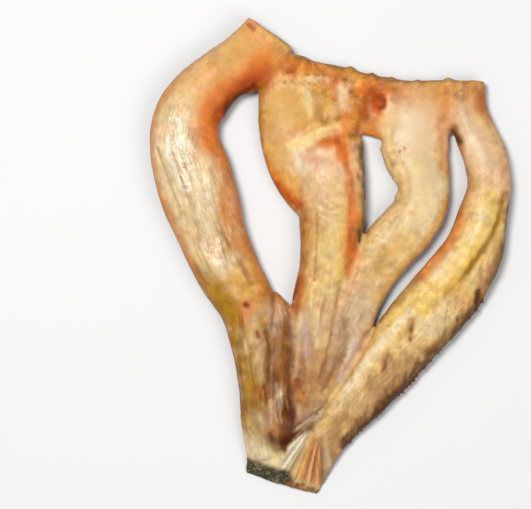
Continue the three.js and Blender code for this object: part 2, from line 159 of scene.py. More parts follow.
# Painted strokes: colour, strength, radius and the line that each follows
PAINT = [
    # Left strip, from its cut end to the tail
    ("copper", 0.6, 5, [(-61, 125), (-84, 107), (-95, 93), (-103, 76), (-104, 59), (-99, 38)]),
    ("copper", 0.8, 7, [(-97, 30), (-90, 14), (-84, 0), (-76, -14)]),
    ("ochre", 0.5, 12, [(-52, 121), (-66, 110), (-76, 98)]),
    ("orange", 0.4, 9, [(-45, 130), (-36, 120)]),
    ("lilac", 0.6, 7, [(-82, 106), (-71, 115), (-57, 127)]),
    ("olive", 0.35, 5, [(-28, 119), (-25, 114)]),
    ("rust", 0.5, 3, [(-45, 133)]),
    # Inner curled edge: orange flesh darkening to a near-black crescent, partly its colour, partly painted
    # shade
    ("orange", 0.9, 16, [(-37, 107), (-52, 100), (-62, 91), (-68, 80), (-69, 68)]),
    ("rust", 0.7, 10, [(-41, 100), (-52, 95), (-59, 88), (-63, 80)]),
    ("blood", 0.5, 6, [(-43, 99), (-50, 95.5), (-57, 90), (-61, 83)]),
    ("umber", 0.8, 3, [(-43, 97), (-51, 93), (-57, 87), (-60, 80)]),
    ("copper", 0.5, 9, [(-62, 66), (-61, 54), (-60, 41)]),
    ("orange", 0.4, 10, [(-63, 60), (-61, 41), (-58, 24), (-52, 9)]),
    ("copper", 0.9, 9, [(-58, 52), (-56, 34), (-52, 18)]),
    ("salmon", 0.5, 6, [(-57, 44), (-55, 26)]),
    ("copper", 0.7, 9, [(-49, 10), (-46, 3), (-39, -11), (-33, -24)]),
    ("brown", 0.7, 2.5, [(-67, 34), (-63, 19), (-57, 6), (-50, -6), (-45, -16)]),
    ("pink", 0.7, 5, [(-97, 72), (-92, 60), (-88, 50)]),
    # White on the crown: pale dry streaks and painted highlights
    ("white", 0.6, 3, [(-93, 59), (-89, 52)]),
    ("white", 0.5, 6, [(-78, 42), (-72, 34)]),
    ("lilac", 0.5, 5, [(-74, 37), (-69, 30)]),
    ("cream", 0.8, 6, [(-79, 22), (-74, 13)]),
    ("pink", 0.6, 5, [(-76, 6)]),
    ("olive", 0.95, 10, [(-72, -11), (-66, -23), (-58, -34)]),
    ("olive", 0.8, 7, [(-52, -43), (-49, -60), (-46, -80), (-46, -86)]),
    ("orange", 0.6, 6, [(-48, -28), (-49, -35)]),
    ("lilac", 0.6, 4, [(-44, -36), (-39, -52), (-39, -69)]),
    ("cream", 0.6, 3, [(-51, -43), (-48, -55)]),
    ("brown", 0.7, 3, [(-36, -43), (-35, -63), (-36, -84)]),
    ("straw", 0.5, 4, [(-42, -58), (-40, -71)]),
    ("orange", 0.7, 5, [(-42, -77)]),
    ("olive", 0.7, 5, [(-45, -73), (-43, -84)]),
    ("sienna", 0.35, 4, [(-42, -76), (-40, -83)]),
    ("bone", 0.7, 4.5, [(-43, -93), (-36, -97)]),
    ("skin", 0.4, 4, [(-52, -87), (-51, -96)]),
    # Folded skin between the left and inner strips
    ("brown", 0.8, 9, [(-29, -44), (-29, -70), (-30, -98), (-31, -108)]),
    ("lilac", 0.3, 4, [(-36, -26), (-33, -43)]),
    ("lilac", 0.4, 4, [(-29, -76), (-30, -86)]),
    ("umber", 0.7, 4, [(-24, -40), (-23, -56), (-24, -72), (-23, -88)]),
    ("umber", 0.35, 4, [(-33, -56), (-33, -70)]),
    ("brown", 0.6, 5, [(-29, -60), (-29, -70)]),
    # Painted highlight on the fold
    ("white", 0.6, 2.5, [(-31, -75), (-29, -80), (-30, -87)]),
    ("rust", 0.35, 5, [(-32, -92), (-31, -103)]),
    ("lilac", 0.6, 2, [(-34, -84), (-32, -98)]),
    # The stump at the foot of the fold: its own dark brown, deepened at its right edge and bottom as
    # painted shadow
    ("umber", 0.9, 6, [(-23, -86), (-22, -98), (-24, -108)]),
    ("sienna", 0.35, 7, [(-30, -92), (-29, -104)]),
    ("umber", 1.0, 6, [(-34, -107), (-25, -109)]),
    # Inner flap and inner strip
    ("olive", 0.6, 3, [(-39, 97), (-40, 80), (-39, 64)]),
    ("ochre", 0.45, 10, [(-37, 60), (-31, 46), (-22, 37)]),
    ("orange", 0.8, 6, [(-38, 54), (-33, 45), (-24, 36), (-18, 30)]),
    ("rust", 0.7, 4, [(-34, 44), (-26, 35), (-18, 29)]),
    # Painted highlight along the flap's crown, and painted shadow to its right
    ("butter", 0.9, 4.5, [(-14, 97), (-12, 88), (-10, 80)]),
    ("mauve", 0.5, 4, [(-7, 86), (-8, 79)]),
    ("copper", 0.6, 5, [(-20, 70), (-11, 75)]),
    ("pink", 0.9, 12, [(-15, 62), (-7, 57), (0, 53)]),
    ("salmon", 0.4, 7, [(-13, 58), (-6, 54)]),
    ("white", 0.6, 6, [(-19, 60), (-15, 50)]),
    ("lilac", 0.4, 5, [(-10, 58), (-5, 52)]),
    ("butter", 1.0, 6, [(-19, 65), (-9, 70), (0, 73), (6, 75)]),
    # Painted light: white lifts the lip where its shading darkens it
    ("white", 0.15, 4, [(-18, 65), (-9, 70), (0, 73)]),
    ("olive", 0.6, 2.5, [(-4, 77), (5, 79)]),
    # Painted shadow below the lip
    ("umber", 0.6, 2.5, [(-5, 66), (0, 68)]),
    ("orange", 0.9, 7, [(-2, 64), (5, 66), (7, 58)]),
    ("rust", 0.7, 4, [(4, 67), (6, 63)]),
    ("orange", 0.8, 4.5, [(8, 80), (10, 70)]),
    ("olive", 0.9, 3.5, [(13, 70)]),
    ("orange", 0.7, 5, [(6, 67), (10, 53), (12, 38), (13, 22), (12, 4), (11, -9)]),
    ("rust", 0.4, 2.5, [(9, 58), (12, 45), (14, 28)]),
    ("orange", 0.7, 7, [(12, 26), (12, 2)]),
    ("rust", 0.5, 4, [(13, 14), (13, 5)]),
    ("umber", 0.9, 2.5, [(17, 15), (17, 9)]),
    ("skin", 0.9, 5, [(17, 62), (20, 45), (21, 28), (19, 16)]),
    ("copper", 0.5, 6, [(-13, 26), (-13, 6), (-14, -12)]),
    ("brown", 0.6, 4, [(-16, 24), (-16, 6), (-17, -8), (-20, -20)]),
    ("yellow", 0.5, 3, [(7, 26), (7, 6), (5, -14)]),
    ("rust", 0.7, 4, [(-16, -12), (-18, -22), (-20, -30)]),
    ("lilac", 0.4, 5, [(-14, -33), (-16, -48)]),
    ("mauve", 0.5, 7, [(-12, -46), (-10, -58), (-13, -72)]),
    ("cream", 0.6, 2, [(-8, -43), (-7, -52)]),
    ("brown", 0.5, 3, [(-14, -55), (-17, -67), (-18, -72)]),
    ("sienna", 0.6, 5, [(-21, -74), (-17, -79), (-14, -85)]),
    # Shoulder collar
    ("copper", 0.8, 9, [(-22, 110), (-8, 108), (6, 104)]),
    ("orange", 0.7, 6, [(-22, 111), (-12, 109)]),
    ("rust", 0.7, 4, [(-25, 106), (-21, 106)]),
    ("copper", 0.9, 7, [(-4, 101), (4, 97)]),
    ("rust", 0.7, 4, [(0, 102), (3, 100)]),
    ("mauve", 0.7, 3.5, [(9, 102)]),
    ("pink", 0.8, 3, [(-16, 102), (-3, 102)]),
    ("pink", 0.85, 4.5, [(7, 97), (7.5, 86)]),
    ("white", 0.5, 1.8, [(6, 97), (7, 87)]),
    ("ochre", 0.6, 6, [(-2, 88), (-1, 79)]),
    ("olive", 0.6, 4, [(9, 110), (18, 106)]),
    ("ochre", 0.9, 6, [(17, 103), (21, 98)]),
    ("orange", 0.9, 11, [(24, 96), (31, 96), (30, 87)]),
    ("rust", 0.8, 6, [(28, 94), (28, 88)]),
    ("copper", 0.7, 5, [(21, 81), (21, 74)]),
    ("pink", 0.7, 4, [(36, 90), (34, 84)]),
    ("copper", 0.6, 7, [(36, 97), (50, 95)]),
    ("brown", 0.5, 3, [(38, 97), (37, 90)]),
    ("skin", 0.7, 3, [(-19, 114), (3, 110), (15, 108), (30, 103), (52, 102), (73, 102)]),
    ("pink", 0.8, 16, [(50, 82), (50, 66)]),
    ("salmon", 0.25, 9, [(44, 86), (42, 78)]),
    ("lilac", 0.5, 9, [(56, 56), (58, 46)]),
    ("yellow", 0.25, 7, [(49, 50), (50, 40)]),
    ("white", 0.45, 11, [(43, 80), (46, 70)]),
    ("copper", 0.25, 7, [(62, 94), (74, 96)]),
    ("mauve", 0.5, 6, [(80, 99), (86, 95), (88, 88)]),
    # Right inner strip
    ("copper", 0.7, 6, [(67, 92), (66, 78), (64.5, 64), (67, 50)]),
    ("salmon", 0.4, 6, [(67, 84), (67, 68), (68, 50)]),
    ("umber", 0.9, 4, [(72, 74), (75, 67)]),
    ("ochre", 0.7, 4, [(68, 32), (60, 16), (50, 2), (38, -12), (28, -23)]),
    ("peach", 0.9, 6, [(33, 78), (33, 61), (37, 54), (42, 44), (43, 35), (39, 27), (32, 20), (23, 13)]),
    ("butter", 0.7, 3, [(33, 67), (34, 60), (38, 53)]),
    ("olive", 0.15, 2.5, [(32, 61), (37, 52), (42, 42), (42, 34), (38, 26), (31, 20)]),
    ("brown", 0.5, 2.5, [(34, 58), (37, 53)]),
    ("ochre", 0.5, 9, [(41, 9), (26, -5)]),
    ("mauve", 0.35, 8, [(28, -6), (19, -18)]),
    ("lilac", 0.8, 9, [(16, -30), (13, -46), (6, -63)]),
    ("mauve", 0.7, 4, [(9, -37), (3, -55), (-4, -69)]),
    ("white", 0.5, 4, [(14, -50), (10, -60)]),
    ("brown", 0.8, 3, [(7, -57), (1, -68), (-5, -77)]),
    ("mauve", 0.6, 6, [(-8, -86), (-18, -99)]),
    ("brown", 0.7, 2, [(-6, -88), (-19, -95)]),
    ("lilac", 0.7, 2, [(-5, -91), (-19, -99)]),
    # Right strip
    ("rust", 0.5, 6, [(88, 92), (86, 86)]),
    ("pink", 0.8, 10, [(78, 79), (85, 64), (89, 52)]),
    ("lilac", 0.7, 8, [(80, 76), (88, 66), (92, 54)]),
    ("mauve", 0.5, 6, [(75, 92), (78, 84)]),
    ("mauve", 0.4, 4, [(89, 84), (91, 75)]),
    ("yellow", 0.3, 3, [(85, 80), (90, 72)]),
    ("white", 0.5, 5, [(80, 68), (84, 58)]),
    ("yellow", 0.2, 3, [(82, 66), (84, 52)]),
    ("copper", 0.5, 5, [(79, 38), (75, 26)]),
    ("orange", 0.65, 6, [(74, 22), (69, 8), (61, -3), (51, -13)]),
    ("yellow", 0.8, 9, [(92, 33), (88, 18), (79, 0), (65, -16), (48, -31), (32, -47)]),
    ("cream", 0.8, 6, [(88, 26), (84, 18), (74, 2), (62, -11)]),
    ("straw", 0.9, 8, [(44, -34), (20, -61), (3, -81)]),
    ("cream", 0.4, 5, [(16, -72), (5, -85)]),
    # White along the ridge: pale flesh brightened with a painted highlight
    ("white", 0.5, 4, [(46, -32), (42, -36), (24, -57), (10, -76)]),
    ("yellow", 0.8, 6, [(78, 4), (64, -16), (52, -28)]),
    ("butter", 0.7, 5, [(74, -2), (62, -16), (52, -26)]),
    ("mauve", 0.6, 2.5, [(53, -12), (41, -24), (29, -37)]),
    ("yellow", 0.5, 3, [(86, 9), (80, -1)]),
    ("olive", 0.95, 2.6, [(100, 36), (97, 20), (91, 9), (83, -2.5), (74.5, -14)]),
    ("brown", 0.4, 1.8, [(99, 31), (96, 18), (91, 8), (85, -1)]),
    ("ochre", 0.6, 6, [(75, -14), (64, -26)]),
    ("brown", 0.6, 7, [(99, 2), (93, -14), (84, -27)]),
    ("brown", 0.7, 8, [(77, -37), (60, -54), (43, -72), (25, -90)]),
    ("brown", 0.4, 7, [(44, -60), (28, -76)]),
    ("cream", 0.7, 9, [(66, -32), (54, -42)]),
    ("mauve", 0.6, 6, [(46, -70), (30, -84), (14, -98)]),
    ("mauve", 0.5, 8, [(42, -60), (28, -75), (12, -91)]),
    ("salmon", 0.4, 5, [(93, -7), (86, -19)]),
    ("skin", 0.95, 5, [(105, 30), (102, 6), (97, -9), (90, -24), (80, -36), (62, -56), (43, -75), (21, -97),
                       (9, -108)]),
    ("charcoal", 0.5, 3, [(104, 28), (103, 8), (98, -9)]),
    ("umber", 0.8, 3.5, [(88, -26), (63, -56), (43, -76), (21, -97), (9, -109)]),
    ("rust", 0.4, 4, [(46, -38), (44, -47)]),
    ("umber", 0.7, 1.6, [(47, -37), (46, -48)]),
    ("rust", 0.6, 3.5, [(33, -56), (31, -66)]),
    ("umber", 0.6, 1.8, [(33, -57), (31, -66)]),
    ("umber", 0.9, 2.5, [(85, -20), (84, -27)]),
    # Tail
    ("bone", 1.0, 9, [(-47, -107), (-40, -112), (-33, -118)]),
    ("cream", 1.0, 7, [(-47, -107), (-41, -113), (-32, -118)]),
    ("cream", 1.0, 5, [(-50, -104), (-49, -112)]),
    ("white", 0.4, 6, [(-46, -110), (-40, -115)]),
    ("umber", 0.9, 2.5, [(-2, -92), (-12, -100), (-21, -108)]),
    ("straw", 0.8, 4.5, [(6, -87), (-3, -95), (-8, -103)]),
    ("mauve", 0.7, 6, [(6, -97), (3, -106), (0, -115)]),
    ("straw", 0.9, 8, [(-22, -129), (-14, -132), (-5, -134)]),
]

# Small clear marks over all of these, in the same way
MARKS = [
    # White on the crown: pale dry streaks and painted highlights
    ("white", 0.85, 2.4, [(-87, 78), (-86, 69), (-84, 61)]),
    ("white", 0.7, 2, [(-94, 60), (-90, 53), (-86, 45)]),
    ("white", 0.5, 2, [(-77, 33), (-73, 22), (-70, 14)]),
    ("sienna", 0.9, 1.8, [(-84, 53), (-83.5, 51)]),
    ("brown", 0.7, 1.2, [(-91, 62), (-86, 46), (-80, 30)]),
    ("brown", 0.6, 1.2, [(-82, 40), (-75, 22), (-70, 6)]),
    ("brown", 0.5, 1.2, [(-99, 62), (-93, 44), (-86, 28)]),
    ("cream", 0.8, 6, [(-77, 38), (-73, 27), (-70, 15)]),
    ("mauve", 0.45, 4.5, [(-84, 60), (-82, 52)]),
    ("copper", 0.75, 4, [(-62, 28), (-59, 17), (-53, 5)]),
    ("brown", 0.5, 1.1, [(-8, 24), (-8, 6), (-9, -14)]),
    ("sienna", 0.6, 1.8, [(-47, 133), (-44, 130)]),
    ("umber", 0.5, 1.6, [(-42, 134.5), (-32, 127.5), (-24, 121.5)]),
    ("sienna", 0.7, 3.6, [(-48.5, -28)]),
    ("blood", 0.9, 2.4, [(-48.5, -28)]),
    ("sienna", 0.9, 1.6, [(-42, -43.5), (-41, -46.5)]),
    ("sienna", 0.9, 1.8, [(-40, -78), (-40, -82)]),
    ("lilac", 0.5, 1.2, [(-35, -84), (-33.6, -90), (-34, -98)]),
    ("pink", 0.5, 1.1, [(-31, -80), (-32, -87), (-30.5, -95)]),
    ("lilac", 0.4, 1.1, [(-27.5, -84), (-28.6, -90), (-28, -96)]),
    # The stump's own dark brown, deepened at its right edge and bottom as painted shadow
    ("umber", 0.7, 3, [(-22, -90), (-22.5, -97), (-24, -105)]),
    ("umber", 0.6, 3.5, [(-33, -106), (-27, -108)]),
    ("lilac", 0.6, 1.3, [(-4, -89), (-21, -101)]),
    ("lilac", 0.6, 1.3, [(-7, -92), (-21, -106)]),
    ("umber", 0.7, 1.1, [(-5, -87.5), (-20, -98.5)]),
    ("umber", 0.7, 1.1, [(-7, -90.8), (-21, -103.5)]),
    ("umber", 0.8, 1.3, [(-10, -96), (-20, -105)]),
    ("blood", 0.8, 2, [(-19.5, -13), (-21, -24)]),
    ("sienna", 0.9, 2.8, [(-19, -72), (-18, -76)]),
    ("copper", 0.8, 2.4, [(-17, -80), (-15, -83)]),
    ("sienna", 0.8, 2.2, [(12.5, 94.5)]),
    ("sienna", 0.4, 2, [(-4, 78), (-1, 80)]),
    ("sienna", 0.4, 2, [(3, 79), (6, 80)]),
    ("salmon", 0.5, 4, [(-3, 99), (3, 97)]),
    ("pink", 0.5, 3, [(8.5, 92), (9, 86)]),
    ("sienna", 0.7, 2, [(-26, 100)]),
    ("sienna", 0.6, 2, [(-24, 105.5), (-21, 106)]),
    ("sienna", 0.7, 4.5, [(23, 94), (21.5, 90), (20, 85), (20, 81)]),
    ("rust", 0.6, 4, [(27, 89), (27, 84)]),
    ("rust", 0.5, 3.5, [(22.5, 95), (20.5, 88), (19.5, 83)]),
    ("sienna", 0.95, 1.8, [(27.5, 92), (31, 90.5), (31.5, 87.5), (29, 85)]),
    ("blood", 0.6, 1.3, [(28.5, 91.5), (31, 90), (31, 87.5)]),
    ("sienna", 0.6, 2, [(8.5, 102)]),
    # Painted highlight along the flap's crown, and painted shadow to its right
    ("cream", 0.7, 2.2, [(-13.5, 96), (-12.5, 90), (-12, 84)]),
    ("mauve", 0.35, 3.5, [(-8, 91), (-8, 81)]),
    ("olive", 0.8, 1.6, [(97, 20), (91, 9), (83, -2.5), (78, -9)]),
    ("sienna", 0.7, 1.4, [(40, 60)]),
    ("sienna", 0.7, 1.4, [(43, 62)]),
    ("brown", 0.45, 2.6, [(10, -45), (8, -55), (1, -68.5), (-4, -74)]),
    ("violet", 0.8, 3, [(17, -49), (11.5, -61), (5.5, -71)]),
    ("violet", 0.5, 3, [(-15, -38), (-13, -58)]),
    ("violet", 0.25, 4, [(-16, -90), (-12, -95)]),
    ("pink", 0.45, 3.5, [(66, 75), (67, 52)]),
    ("salmon", 0.2, 5, [(-14, 57), (-8, 54)]),
    ("ochre", 0.35, 3, [(-2, -42), (-5, -58)]),
    ("copper", 0.6, 4, [(-15, -18), (-16, -30)]),
    ("brown", 0.35, 3.5, [(-39, -38), (-38, -48)]),
    ("violet", 0.35, 5, [(-32, -28), (-32, -42)]),
    ("mauve", 0.7, 3, [(-24, -131), (-14, -135), (-6, -137)]),
    ("bone", 0.6, 3, [(-18, -130), (-8, -134)]),
    ("brown", 0.7, 2.2, [(-24, -132.5), (-14, -136), (-5, -138.5)]),
]

# Rays of the tail fin: the point they fan out from, how far from it they begin, their sides in degrees
# from straight down, the fade there and at their end, and by degrees their reach, colours and contrast
FAN_POINT = (-4.5, -90.5)
FAN_START = (9, 22)
FAN_SIDES = (-48, 18)
FAN_FADE = 6
FAN_END = (1.08, 0.95)
FAN_REACH = [(-48, 26), (-42, 30), (-36, 39), (-30, 42), (-14, 42), (18, 42)]
# The white of the leftmost rays is pale rays with a painted highlight
FAN_COLOURS = [(-46, "white"), (-34, "white"), (-30, "cream"), (-26, "straw"), (-22, "tan"),
               (-18, "copper"), (-14, "salmon"), (-6, "copper"), (-1, "brown"), (5, "lilac"), (18, "mauve")]
FAN_STRENGTH = 0.9
RAY_CONTRAST = [(-46, 1.0), (-20, 0.8), (0, 0.4), (18, 0.2)]
# Degrees from ray to ray, fine and broad, and the rays' length, height and shade
RAY_DEGREES = 2.2
BROAD_RAY_DEGREES = 6
RAY_LENGTH = 40
RAY_HEIGHT = 0.45
RAY_SHADE = 0.25
# Lines along the rays: colour, strength, and the noise where they begin and where they are full
RAY_LINES = [("umber", 0.4, (-0.1, -0.7)), ("white", 0.4, (0.1, 0.6))]

# Brown dots along the lower edge of the fin
FIN_EDGE = [(-25, -130), (-6, -136)]
FIN_DOT = 1.8
FIN_DOT_JITTER = 0.4
FIN_DOT_STRENGTH = 0.8

# Short dark marks beside the trimmed dorsal fin; pairs are the limits of a random draw
FEATHER_RADIUS = 1.8
FEATHER_INSET = (0, 5)
FEATHER_LEAN = (-0.5, 1.5)
FEATHER_LENGTH = (1, 5)
FEATHER_STRENGTH = (0.3, 0.6)

# Zones by the look of the surface: strength, radius and the line that each stroke follows
ZONES = {
    "smooth": [
        (1.0, 20, [(50, 88), (50, 60), (52, 42)]),
        (0.8, 20, [(-28, 100), (-22, 80), (-20, 58)]),
        (0.7, 16, [(-45, 117), (-62, 104), (-74, 93)]),
        (0.7, 12, [(82, 80), (89, 58)]),
        (0.5, 14, [(0, 50), (0, 15)]),
    ],
    "wet": [
        (0.7, 9, [(-88, 76), (-88, 66)]),
        (1.0, 15, [(-87, 66), (-83, 52)]),
        (1.0, 18, [(-80, 45), (-74, 30), (-69, 10), (-65, 0)]),
        (0.3, 9, [(-6, 44), (-3, 3)]),
    ],
    "folded": [
        (0.8, 10, [(-50, -37), (-46, -84)]),
        (1.0, 13, [(-27, -34), (-29, -107)]),
        (0.9, 17, [(-9, -26), (-14, -66), (-18, -95)]),
        (0.6, 13, [(14, -26), (2, -66), (-12, -95)]),
        (0.6, 12, [(-45, -92), (-42, -112)]),
    ],
    "feathered": [
        (1.0, 16, [(88, -10), (70, -30), (47, -54), (20, -80), (5, -98)]),
    ],
    "freckled": [
        (1.0, 15, [(-14, 104), (5, 98), (22, 94)]),
        (0.5, 12, [(41, 95), (75, 97)]),
        (0.3, 12, [(0, 61), (0, 15)]),
        (0.4, 12, [(38, 60), (42, 32), (27, 3)]),
        (0.7, 12, [(62, -22), (41, -40)]),
        (0.5, 10, [(-75, -20)]),
    ],
}
# What smooth flesh lacks in roughness, and the left strip in the inner folds' colours
SMOOTH_LOSS = 0.8
LEFT_LOSS = 0.8
# The bumpy lip, and the dark band along the trimmed edge of the tail
LIP_RADIUS = 4
TAIL_BAND = [(-50, -122), (-39, -126), (-27, -129.8)]
TAIL_BAND_RADIUS = 10
TAIL_BAND_EDGE = (0.3, 0.7)

# Lumps of the relief: zone, height, and size, seed and, where it isn't two, octaves
LUMPS = [
    ("all", 0.50, (16, 12, 1)), ("rough", 0.20, (6, 13)), ("rough", 0.08, (2, 14)),
    ("freckled", 0.45, (4, 17)), ("tail_band", 0.50, (2.5, 20)), ("lip", 0.40, (2.6, 18)),
]
# Fibres of the relief: zone, height, and length, width, seed and, where there is one, slant
FIBRES = [
    ("wet", 0.80, (20, 8.0, 15)), ("folded", 0.45, (30, 3.6, 16)),
    ("feathered", 0.45, (16, 3.0, 19, 0.7)),
]

# Blotches all over the flesh: colour, strength and size; fainter where it is smooth
MOTTLE = [
    ("orange", 0.25, 14), ("cream", 0.30, 10), ("yellow", 0.35, 8), ("pink", 0.40, 6),
    ("copper", 0.30, 5), ("lilac", 0.25, 4.5), ("ochre", 0.30, 3.5), ("cream", 0.30, 2.6),
]
MOTTLE_EDGE = (0.1, 0.8)
MOTTLE_LEAST = 0.4
# Painted streaks: colour, strength, zone, the noise where they begin and where they are full, and
# length, width, seed and slant as above
STREAKS = [
    ("mauve", 0.40, "wet", (0.1, -0.5), (20, 8.0, 15)),
    ("cream", 0.70, "wet", (0.0, 0.4), (20, 8.0, 15)),
    ("pink", 0.70, "wet", (0.1, 0.5), (20, 9.0, 22)),
    # White on the wet flesh: pale dry streaks and painted highlights
    ("white", 0.50, "wet", (0.2, 0.7), (18, 4.0, 25)),
    ("brown", 0.40, "wet", (0.4, 0.75), (18, 2.6, 23)),
    ("violet", 0.40, "inner_folds", (0.1, 0.6), (26, 5.0, 26)),
    ("pink", 0.30, "inner_folds", (0.2, 0.6), (22, 4.0, 46)),
    ("umber", 0.50, "folded", (0.15, 0.8), (28, 2.8, 24)),
    ("brown", 0.50, "feathered", (0.1, 0.9), (10, 2.4, 27, 0.7)),
    ("cream", 0.35, "feathered", (0.2, 0.8), (14, 3.0, 28, 0.7)),
]
# Painted specks, by size and seed, before the hue is eased and after it
SPECKS = [
    ("yellow", 0.50, "freckled", (0.3, 0.7), (3.2, 30)),
    ("ash", 0.75, "tail_band", (0.2, 0.7), (2.5, 20)),
]
FRECKLES = [("sienna", 0.40, "freckled", (0.35, 0.8), (2.0, 29))]
# Light and dark grain by zone: strength, size and seed
SHADES = {"rough": [(0.13, 4.5, 44), (0.09, 2.2, 45)], "freckled": [(0.25, 1.8, 48)]}

# How ragged a kind of stroke is at its edge, and how far streaks break into it
STROKE_EDGES = {
    "soft": (0.35, 0.9), "relief": (0.15, 0.0), "mark": (0.2, 0.2), "dot": (0.3, 0.3), "band": (0.06, 0.6),
}
STROKE_FADE = (-0.15, 0.95)
# Size of the raggedness: a share of the stroke's radius, and what is added to it
RAGGED_SHARE = 0.8
RAGGED_MORE = 1
# The streaks that break strokes: length, width and seed
BREAKS = (12, 2.0, 21)
# Step along the lines that bands and strokes follow
LINE_STEP = 1.0

# Seeds of the random draws and noises; a set of strokes counts up from its first one
RANDOM_SEED = 7
SEEDS = {
    "sway": 9, "mottle": 31, "rim": 51, "rays": 55, "broad_rays": 57, "lip": 90, "relief": 100,
    "paint": 200, "wet": 300, "smooth": 310, "folded": 320, "feathered": 340, "freckled": 350,
    "tail_band": 360, "dots": 400, "feathers": 440, "marks": 500,
}
# Large primes that scatter the cells of a noise
CELL_PRIMES = (73856093, 19349663, 83492791)
SEED_PRIME = 2654435761
SCATTER_PRIME = 1274126177
SCATTER_MASK = 0x7FFFFFFF
NOISE_LEVELS = 65536

# Size of the cells that the body is remeshed in, rounds of easing after it, and the share in each round
VOXEL = 0.85
SHELL_ROUNDS = 8
EASE = 0.5
# Triangles of the finished mesh, and how far a face of its underside looks down
TRIANGLES = 190_000
BASE_SLOPE = -0.2
# Slopes between which the skin below passes into the flesh
UPWARD = (-0.35, 0.15)
# Vertices around a band's section, and the step from section to section
SECTION_POINTS = 40
SECTION_STEP = 1.5
# Share of a band's thickness at which its sides are widest, and the roundness of its parts
EDGE_SHARE = 0.4
SIDE_POWER = 0.9
TOP_POWER = 1.0
BASE_POWER = 0.5
# How softly a band passes into the next, how far apart their grains lie, how much worse a band fits
# beyond its side, and the least share that counts
BAND_BLEND = 1.2
BAND_GAP = 7.5
BEYOND_WEIGHT = 3
LEAST_SHARE = 0.01
# How far the grain sways from side to side, and over what length
SWAY = 2.2
SWAY_LENGTH = 13
# Lumps of the torn rims and stubs of the dorsal fin; pairs are the limits of a random draw
LUMP_RINGS = 6
LUMP_POINTS = 10
LUMP_RADIUS = (1.6, 3.2)
RIM_STEP = 5
RIM_JITTER = 0.7
STUB_STEP = 3
STUB_LENGTH = (2.0, 4.2)
STUB_RADIUS = 1.6

# Weights of red, green and blue in brightness, and how often hue is eased
LUMINANCE = np.array([0.30, 0.59, 0.11])
HUE_ROUNDS = 8
# Painted shade in hollows, on rims and on the brink: depth of hollows, slopes of rims and of the brink,
# and the red, green and blue that each takes away; rims and brink are also the drier, darker edges
HOLLOW_ROUNDS = 6
HOLLOW_DEPTH = (0.03, 0.45)
HOLLOW_SHADE_LOSS = (0.21, 0.28, 0.35)
RIM_SLOPE = (0.88, 0.3)
RIM_DRY_AND_SHADE_LOSS = (0.14, 0.34, 0.52)
BRINK_SLOPE = (0.4, 0.0)
BRINK_EDGE_AND_SHADE_LOSS = (0.40, 0.45, 0.45)
# Rims are patchy: strength, its change and the size of the patches
RIM_STRENGTH = 0.85
RIM_CHANGE = 0.3
RIM_PATCH = 9
# The darkest and the palest paint
PAINT_LIMITS = (0.003, 0.98)

# Fibres that show in each zone, and the share at which a band's grain is clear
FIBROUS = {"all": 0.1, "folded": 1.0, "wet": 0.5, "feathered": 0.7}
CLEAR_SHARE = (0.85, 0.99)
# Where flesh counts as bright, and the gloss of moisture everywhere, on bright flesh and where it is wet
BRIGHT = (0.05, 0.35)
GLOSS = 0.05
BRIGHT_GLOSS = 0.14
WET_GLOSS = 0.40

# Noises of the material: what they follow, three scales and detail
NOISES = {
    "fibre": ("grain", (0.09, 0.8, 1.0), 4), "painted_glint": ("grain", (0.10, 0.36, 1.0), 2),
    "crack": ("grain", (0.05, 0.5, 2.0), 3), "weave": ("grain", (0.30, 0.75, 1.0), 4),
    "speck": ("place", (800, 800, 800), 3), "fine": ("place", (800, 800, 800), 4),
    "hue": ("place", (520, 520, 520), 3), "blotch": ("place", (70, 70, 70), 3),
}
# What values become: from two limits to two others
RANGES = {
    "fibre": (0.3, 0.7, -0.5, 0.5), "painted_glint": (0.56, 0.66, 0.0, 0.6), "crack": (0.38, 0.31, 0.0, 0.45),
    "grit": (0.3, 0.7, -0.09, 0.09), "tone": (-0.5, 0.5, 0.82, 1.15), "speck": (0.50, 0.68, 0.0, 0.6),
    "blotch": (0.4, 0.65, 0.0, 0.5), "scales": (0.35, 0.62, 0.0, 0.45),
    "dry": (0.3, 0.7, 0.40, 0.58), "moist": (0, 1, 0, 0.20),
}
# Scales of the skin, change of hue from grain to grain, and depth of the fine relief
SCALES = 190
HUE_CHANGE = (0.06, 0.07, 0.12)
HUE_LEAST = (0.97, 0.965, 0.94)
BUMP_STRENGTH = 0.35
FLESH_BUMP = 0.0006
FILM_BUMP = 0.0008
# The mix node's colour sockets share their names with others, so they go by number
MIX_UNDER = 6
MIX_OVER = 7
MIX_RESULT = 2

# How far the floor lies below the skin, and half its side
FLOOR_DROP = 0.0002
FLOOR_HALF = 3

# The picture's size, the pixel at the fish's zero, the millimetres in a pixel, and the camera
IMAGE_WIDTH = 531
IMAGE_HEIGHT = 509
ZERO_PIXEL = (329.5, 256)
PIXEL = 0.58
CAMERA_HEIGHT = 1.5
SENSOR = 36


def smoothstep(low, high, value):
    t = np.clip((value - low) / (high - low), 0, 1)
    return t * t * (3 - 2 * t)


def linear(name):
    """A palette colour as linear light."""
    c = np.array(PALETTE[name]) / 255
    light = np.where(c <= 0.04045, c / 12.92, ((c + 0.055) / 1.055) ** 2.4)
    return light * RICHER - SHEEN


